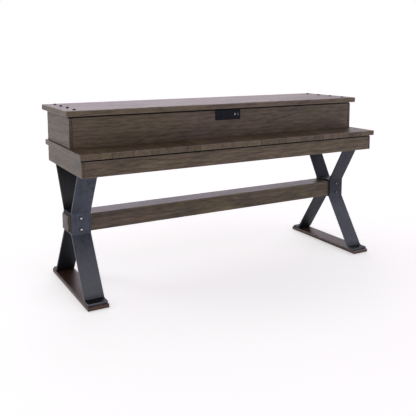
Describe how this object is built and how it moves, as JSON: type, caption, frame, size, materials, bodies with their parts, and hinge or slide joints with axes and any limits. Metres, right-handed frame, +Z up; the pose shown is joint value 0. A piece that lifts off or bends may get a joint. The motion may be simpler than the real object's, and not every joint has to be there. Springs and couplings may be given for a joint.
{
  "type": "console bar table",
  "caption": "Long wood bar table with a raised shelf box along the back that holds a power outlet, on steel X frames joined by a wood stretcher beam",
  "frame": {"origin": "on the floor under the middle of the table's overall box", "axes": "+Z up, +X along the table's length to the right of a person who sits at it, +Y away from that person, towards the raised back"},
  "size_m": [1.778, 0.616, 0.9198],
  "materials": {
    "oak": "dark grey-brown stained open-grain oak, satin lacquer",
    "steel": "blackened hot-rolled steel, satin clear coat",
    "bolt": "bright zinc plate",
    "nail": "blackened forged steel",
    "black_plastic": "fine-textured black moulded plastic",
    "nylon": "dark grey moulded nylon",
    "port_tongue": "white moulded plastic"
  },
  "bodies": {
    "table": {"main_top": "oak", "apron_front": "oak", "apron_back": "oak", "apron_left": "oak", "apron_right": "oak", "riser_left_panel": "oak", "riser_right_panel": "oak", "riser_front_panel": "oak", "riser_back_panel": "oak", "riser_top": "oak", "cord_grommet": "black_plastic", "top_nail_left_1": "nail", "top_nail_left_2": "nail", "top_nail_left_3": "nail", "top_nail_left_4": "nail", "top_nail_right_1": "nail", "top_nail_right_2": "nail", "top_nail_right_3": "nail", "top_nail_right_4": "nail", "power_bezel": "black_plastic", "power_housing": "black_plastic", "outlet_block": "black_plastic", "usb_block": "black_plastic", "stretcher_beam": "oak", "stretcher_cap_left": "oak", "leg_rail_left": "oak", "sled_board_left": "oak", "clamp_plate_left_upper": "steel", "clamp_bolt_left_upper": "bolt", "clamp_plate_left_lower": "steel", "clamp_bolt_left_lower": "bolt", "leg_bar_left_front": "steel", "foot_bolt_left_front": "nail", "glide_nut_left_front": "bolt", "leg_bar_left_rear": "steel", "foot_bolt_left_rear": "nail", "glide_nut_left_rear": "bolt", "stretcher_cap_right": "oak", "leg_rail_right": "oak", "sled_board_right": "oak", "clamp_plate_right_upper": "steel", "clamp_bolt_right_upper": "bolt", "clamp_plate_right_lower": "steel", "clamp_bolt_right_lower": "bolt", "leg_bar_right_front": "steel", "foot_bolt_right_front": "nail", "glide_nut_right_front": "bolt", "leg_bar_right_rear": "steel", "foot_bolt_right_rear": "nail", "glide_nut_right_rear": "bolt"},
    "glide_left_front": {"glide_pad_left_front": "nylon"},
    "stud_left_front": {"glide_stud_left_front": "bolt"},
    "glide_left_rear": {"glide_pad_left_rear": "nylon"},
    "stud_left_rear": {"glide_stud_left_rear": "bolt"},
    "glide_right_front": {"glide_pad_right_front": "nylon"},
    "stud_right_front": {"glide_stud_right_front": "bolt"},
    "glide_right_rear": {"glide_pad_right_rear": "nylon"},
    "stud_right_rear": {"glide_stud_right_rear": "bolt"},
    "shutter_left": {"outlet_shutter_left": "nylon"},
    "shutter_right": {"outlet_shutter_right": "nylon"}
  },
  "joints": [
    {"name": "glide_left_front_slide", "type": "slide", "parent": "table", "child": "glide_left_front", "axis": [0, 0, -1], "range_m": [0, 0.006]},
    {"name": "stud_left_front_turn", "type": "hinge", "parent": "glide_left_front", "child": "stud_left_front", "pos_m": [-0.811, -0.235, 0.01], "axis": [0, 0, -1], "range_deg": [0, 1728]},
    {"name": "glide_left_rear_slide", "type": "slide", "parent": "table", "child": "glide_left_rear", "axis": [0, 0, -1], "range_m": [0, 0.006]},
    {"name": "stud_left_rear_turn", "type": "hinge", "parent": "glide_left_rear", "child": "stud_left_rear", "pos_m": [-0.811, 0.221, 0.01], "axis": [0, 0, -1], "range_deg": [0, 1728]},
    {"name": "glide_right_front_slide", "type": "slide", "parent": "table", "child": "glide_right_front", "axis": [0, 0, -1], "range_m": [0, 0.006]},
    {"name": "stud_right_front_turn", "type": "hinge", "parent": "glide_right_front", "child": "stud_right_front", "pos_m": [0.811, -0.235, 0.01], "axis": [0, 0, -1], "range_deg": [0, 1728]},
    {"name": "glide_right_rear_slide", "type": "slide", "parent": "table", "child": "glide_right_rear", "axis": [0, 0, -1], "range_m": [0, 0.006]},
    {"name": "stud_right_rear_turn", "type": "hinge", "parent": "glide_right_rear", "child": "stud_right_rear", "pos_m": [0.811, 0.221, 0.01], "axis": [0, 0, -1], "range_deg": [0, 1728]},
    {"name": "shutter_left_slide", "type": "slide", "parent": "table", "child": "shutter_left", "axis": [1, 0, 0], "range_m": [0, 0.0045], "stiffness_N_per_m": 150, "springref_m": -0.001},
    {"name": "shutter_right_slide", "type": "slide", "parent": "table", "child": "shutter_right", "axis": [1, 0, 0], "range_m": [0, 0.0045], "stiffness_N_per_m": 150, "springref_m": -0.001}
  ],
  "couplings": [
    {"joint": "stud_left_front_turn", "follows": "glide_left_front_slide", "rad_per_m": 5026.5},
    {"joint": "stud_left_rear_turn", "follows": "glide_left_rear_slide", "rad_per_m": 5026.5},
    {"joint": "stud_right_front_turn", "follows": "glide_right_front_slide", "rad_per_m": 5026.5},
    {"joint": "stud_right_rear_turn", "follows": "glide_right_rear_slide", "rad_per_m": 5026.5}
  ]
}
